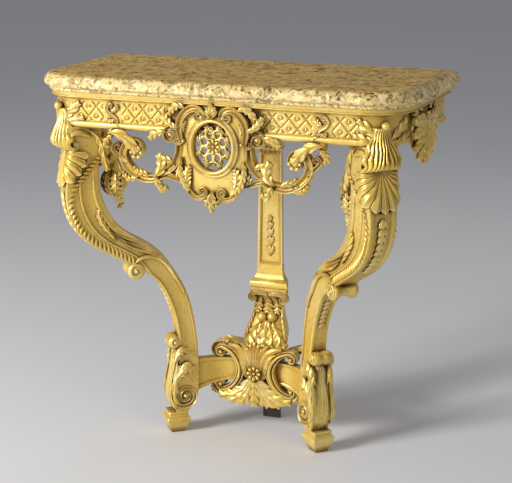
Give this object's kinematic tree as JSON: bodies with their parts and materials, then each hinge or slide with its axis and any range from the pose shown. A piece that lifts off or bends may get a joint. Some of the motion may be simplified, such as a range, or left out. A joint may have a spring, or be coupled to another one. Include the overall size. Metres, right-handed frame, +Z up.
{
  "type": "pier table",
  "caption": "Carved giltwood pier table with a breccia marble top, scrolled cabriole front legs, pierced apron with an oval cartouche, rear pilaster support and scrolled stretcher.",
  "frame": {"origin": "centre of the bounding box on the floor", "axes": "+X to the right along the marble's length, +Y to the back (the wall side), +Z up"},
  "size_m": [0.86, 0.4, 0.85],
  "materials": {
    "gilt": "gold leaf over gesso and bole, partly burnished, toned in the recesses",
    "marble": "polished breccia, cream and ochre with brown and grey flecks",
    "oak": "plain unfinished timber",
    "dark_wood": "dark stained timber"
  },
  "bodies": {
    "root": {"back_rail": "oak", "cartouche_crest": "gilt", "cartouche_drop": "gilt", "cartouche_fretwork": "gilt", "cartouche_oval": "gilt", "cartouche_shield": "gilt", "front_rail": "gilt", "glue_blocks": "oak", "left_apron_scroll": "gilt", "left_batten": "oak", "left_corner_block": "gilt", "left_foot_block": "gilt", "left_knee_shell": "gilt", "left_leg": "gilt", "left_leg_bracket": "gilt", "left_rail": "gilt", "left_rear_ear": "gilt", "left_shell_cap": "gilt", "left_side_pendant": "gilt", "left_stretcher": "gilt", "left_stretcher_scroll": "gilt", "left_toe": "gilt", "marble_top": "marble", "rail_pegs": "oak", "rear_block": "dark_wood", "rear_bracket": "gilt", "rear_capital": "gilt", "rear_foot": "dark_wood", "rear_leaf": "gilt", "rear_pilaster": "gilt", "rear_plinth": "gilt", "right_apron_scroll": "gilt", "right_batten": "oak", "right_corner_block": "gilt", "right_foot_block": "gilt", "right_knee_shell": "gilt", "right_leg": "gilt", "right_leg_bracket": "gilt", "right_rail": "gilt", "right_rear_ear": "gilt", "right_shell_cap": "gilt", "right_side_pendant": "gilt", "right_stretcher": "gilt", "right_stretcher_scroll": "gilt", "right_toe": "gilt", "stretcher_fan": "gilt", "stretcher_hub": "gilt", "stretcher_leaf": "gilt", "stretcher_rosette": "gilt"}
  },
  "joints": []
}
